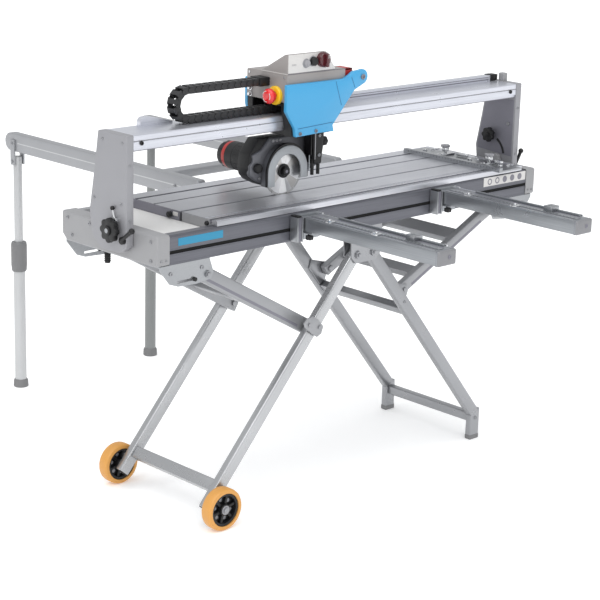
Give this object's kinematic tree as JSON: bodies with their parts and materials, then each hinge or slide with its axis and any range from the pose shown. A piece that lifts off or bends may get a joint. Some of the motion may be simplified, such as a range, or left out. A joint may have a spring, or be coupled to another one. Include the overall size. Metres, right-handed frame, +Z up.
{
  "type": "bridge tile cutter",
  "caption": "Bridge tile cutter: a tilting beam carries a motor head with a round blade over a slotted table, on a folding wheeled stand with pull-out arms.",
  "frame": {"origin": "on the floor, under the centre of the whole box", "axes": "+X along the rails towards the right end, +Y from the front rail to the rear extension, +Z up"},
  "size_m": [1.3351, 1.5774, 1.0505],
  "materials": {
    "dark_grey": "satin dark grey",
    "silver": "satin silver-grey",
    "light_grey": "fine grained",
    "pale_aluminium": "satin anodised",
    "zinc": "zinc plated",
    "amber": "polyurethane tread",
    "black": "matte",
    "steel": "ground",
    "warm_grey": "satin",
    "blue": "satin",
    "yellow": "smooth",
    "red": "smooth",
    "grey_plastic": "satin",
    "dark_red": "smooth",
    "guard_grey": "satin"
  },
  "bodies": {
    "base": {"front_rail": "dark_grey", "rear_rail": "silver", "left_end_cover": "light_grey", "right_end_cover": "light_grey", "water_tray": "light_grey", "front_table": "pale_aluminium", "rear_table": "pale_aluminium", "left_bracket": "zinc", "right_bracket": "zinc", "stand_hub": "silver", "rear_left_arm": "silver", "rear_right_arm": "silver", "rear_crossbar": "silver"},
    "fence": {"fence": "silver"},
    "left_legs": {"left_leg_frame": "silver"},
    "left_brace": {"left_brace_frame": "silver"},
    "right_legs": {"right_leg_frame": "silver"},
    "right_brace": {"right_brace_frame": "silver"},
    "front_wheel": {"front_tyre": "amber", "front_wheel_hub": "black"},
    "rear_wheel": {"rear_tyre": "amber", "rear_wheel_hub": "black"},
    "bridge": {"left_upright": "silver", "right_upright": "silver", "bridge_beam": "pale_aluminium"},
    "tilt_knob": {"left_tilt_knob": "black"},
    "tilt_lever": {"left_tilt_lever": "steel"},
    "left_lock": {"left_lock_lever": "black"},
    "right_lock": {"right_lock_lever": "black"},
    "angle_stop": {"angle_stop_knob": "black"},
    "carriage": {"carriage_saddle": "black", "control_box": "warm_grey", "head_cover": "blue", "rear_cover": "blue", "handle_bar": "black", "estop_base": "yellow", "power_inlet": "red", "guide_bracket": "black", "chain_run": "black"},
    "chain": {"cable_chain": "black"},
    "estop": {"estop_button": "red"},
    "start": {"start_button": "grey_plastic"},
    "stop": {"stop_button": "black"},
    "selector": {"selector_knob": "dark_red"},
    "depth_screw": {"depth_knob": "black"},
    "cutting_unit": {"gear_housing": "dark_grey", "motor_body": "black", "blade_guard": "guard_grey"},
    "spindle": {"blade": "steel", "blade_flange": "black"},
    "left_arm": {"left_front_arm": "pale_aluminium"},
    "left_stop": {"left_arm_stop": "zinc"},
    "left_arm_screw": {"left_arm_knob": "black"},
    "right_arm": {"right_front_arm": "pale_aluminium"},
    "right_stop": {"right_arm_stop": "zinc"},
    "right_arm_screw": {"right_arm_knob": "black"},
    "rear_left_leg": {"rear_left_leg_upper": "silver"},
    "rear_left_foot": {"rear_left_leg_lower": "silver"},
    "rear_right_leg": {"rear_right_leg_upper": "silver"},
    "rear_right_foot": {"rear_right_leg_lower": "silver"}
  },
  "joints": [
    {"name": "fence_slide", "type": "slide", "parent": "base", "child": "fence", "axis": [1, 0, 0], "range_m": [-0.25, 0.02]},
    {"name": "left_legs_fold", "type": "hinge", "parent": "base", "child": "left_legs", "pos_m": [-0.00525, -0.18825, 0.57], "axis": [0, 1, 0], "range_deg": [0, 46]},
    {"name": "left_brace_fold", "type": "hinge", "parent": "left_legs", "child": "left_brace", "pos_m": [-0.14125, -0.18825, 0.4125], "axis": [0, -1, 0], "range_deg": [0, 79]},
    {"name": "right_legs_fold", "type": "hinge", "parent": "base", "child": "right_legs", "pos_m": [0.04675, -0.18825, 0.57], "axis": [0, -1, 0], "range_deg": [0, 46]},
    {"name": "right_brace_fold", "type": "hinge", "parent": "right_legs", "child": "right_brace", "pos_m": [0.18655, -0.18825, 0.4478], "axis": [0, 1, 0], "range_deg": [0, 79]},
    {"name": "front_wheel_spin", "type": "hinge", "parent": "left_legs", "child": "front_wheel", "pos_m": [-0.44325, -0.37675, 0.05], "axis": [0, 1, 0], "continuous": true},
    {"name": "rear_wheel_spin", "type": "hinge", "parent": "left_legs", "child": "rear_wheel", "pos_m": [-0.44325, 0.00025, 0.05], "axis": [0, 1, 0], "continuous": true},
    {"name": "bridge_tilt", "type": "hinge", "parent": "base", "child": "bridge", "pos_m": [0.00825, -0.22925, 0.712], "axis": [1, 0, 0], "range_deg": [0, 45]},
    {"name": "tilt_knob_turn", "type": "hinge", "parent": "bridge", "child": "tilt_knob", "pos_m": [-0.64015, -0.23925, 0.702], "axis": [-1, 0, 0], "range_deg": [0, 180]},
    {"name": "tilt_lever_turn", "type": "hinge", "parent": "bridge", "child": "tilt_lever", "pos_m": [-0.64015, -0.24625, 0.7235], "axis": [-1, 0, 0], "range_deg": [0, 40]},
    {"name": "left_lock_turn", "type": "hinge", "parent": "bridge", "child": "left_lock", "pos_m": [-0.64015, -0.26925, 0.683], "axis": [-1, 0, 0], "range_deg": [0, 40]},
    {"name": "right_lock_turn", "type": "hinge", "parent": "bridge", "child": "right_lock", "pos_m": [0.65665, -0.26625, 0.69], "axis": [-1, 0, 0], "range_deg": [0, 50]},
    {"name": "angle_stop_turn", "type": "hinge", "parent": "bridge", "child": "angle_stop", "pos_m": [0.63605, -0.20325, 0.768], "axis": [-1, 0, 0], "range_deg": [0, 180]},
    {"name": "carriage_slide", "type": "slide", "parent": "bridge", "child": "carriage", "axis": [1, 0, 0], "range_m": [-0.35, 0.5]},
    {"name": "chain_roll", "type": "slide", "parent": "carriage", "child": "chain", "axis": [1, 0, 0], "range_m": [-0.26, 0.18], "deforming": ["chain_run"]},
    {"name": "estop_press", "type": "slide", "parent": "carriage", "child": "estop", "axis": [1, 0, 0], "range_m": [0, 0.006], "stiffness_N_per_m": 700},
    {"name": "start_press", "type": "slide", "parent": "carriage", "child": "start", "axis": [0, 1, 0], "range_m": [0, 0.003], "stiffness_N_per_m": 500},
    {"name": "stop_press", "type": "slide", "parent": "carriage", "child": "stop", "axis": [0, 1, 0], "range_m": [0, 0.003], "stiffness_N_per_m": 500},
    {"name": "selector_turn", "type": "hinge", "parent": "carriage", "child": "selector", "pos_m": [-0.09575, -0.30225, 1.033], "axis": [0, -1, 0], "range_deg": [-45, 45]},
    {"name": "depth_screw_turn", "type": "hinge", "parent": "carriage", "child": "depth_screw", "pos_m": [-0.03125, -0.24225, 0.828], "axis": [1, 0, 0], "range_deg": [0, 180]},
    {"name": "depth_slide", "type": "slide", "parent": "carriage", "child": "cutting_unit", "axis": [0, 0, 1], "range_m": [0, 0.012]},
    {"name": "blade_spin", "type": "hinge", "parent": "cutting_unit", "child": "spindle", "pos_m": [-0.13925, -0.22925, 0.768], "axis": [0, 1, 0], "continuous": true},
    {"name": "left_arm_slide", "type": "slide", "parent": "base", "child": "left_arm", "axis": [1, 0, 0], "range_m": [-0.2, 0.15]},
    {"name": "left_stop_slide", "type": "slide", "parent": "left_arm", "child": "left_stop", "axis": [0, 1, 0], "range_m": [-0.06, 0.2]},
    {"name": "left_arm_screw_turn", "type": "hinge", "parent": "left_arm", "child": "left_arm_screw", "pos_m": [-0.19925, -0.38625, 0.6617], "axis": [0, 0, -1], "range_deg": [0, 180]},
    {"name": "right_arm_slide", "type": "slide", "parent": "base", "child": "right_arm", "axis": [1, 0, 0], "range_m": [-0.15, 0.2]},
    {"name": "right_stop_slide", "type": "slide", "parent": "right_arm", "child": "right_stop", "axis": [0, 1, 0], "range_m": [-0.06, 0.2]},
    {"name": "right_arm_screw_turn", "type": "hinge", "parent": "right_arm", "child": "right_arm_screw", "pos_m": [0.26875, -0.38625, 0.6617], "axis": [0, 0, -1], "range_deg": [0, 180]},
    {"name": "rear_left_leg_fold", "type": "hinge", "parent": "base", "child": "rear_left_leg", "pos_m": [-0.20175, 0.74875, 0.64], "axis": [-1, 0, 0], "range_deg": [0, 90]},
    {"name": "rear_left_foot_slide", "type": "slide", "parent": "rear_left_leg", "child": "rear_left_foot", "axis": [0, 0, 1], "range_m": [0, 0.2]},
    {"name": "rear_right_leg_fold", "type": "hinge", "parent": "base", "child": "rear_right_leg", "pos_m": [0.26125, 0.74875, 0.64], "axis": [-1, 0, 0], "range_deg": [0, 90]},
    {"name": "rear_right_foot_slide", "type": "slide", "parent": "rear_right_leg", "child": "rear_right_foot", "axis": [0, 0, 1], "range_m": [0, 0.2]}
  ],
  "couplings": [
    {"joint": "left_brace_fold", "follows": "left_legs_fold", "ratio": 1.7},
    {"joint": "right_brace_fold", "follows": "right_legs_fold", "ratio": 1.7},
    {"joint": "chain_roll", "follows": "carriage_slide", "ratio": -0.5}
  ]
}
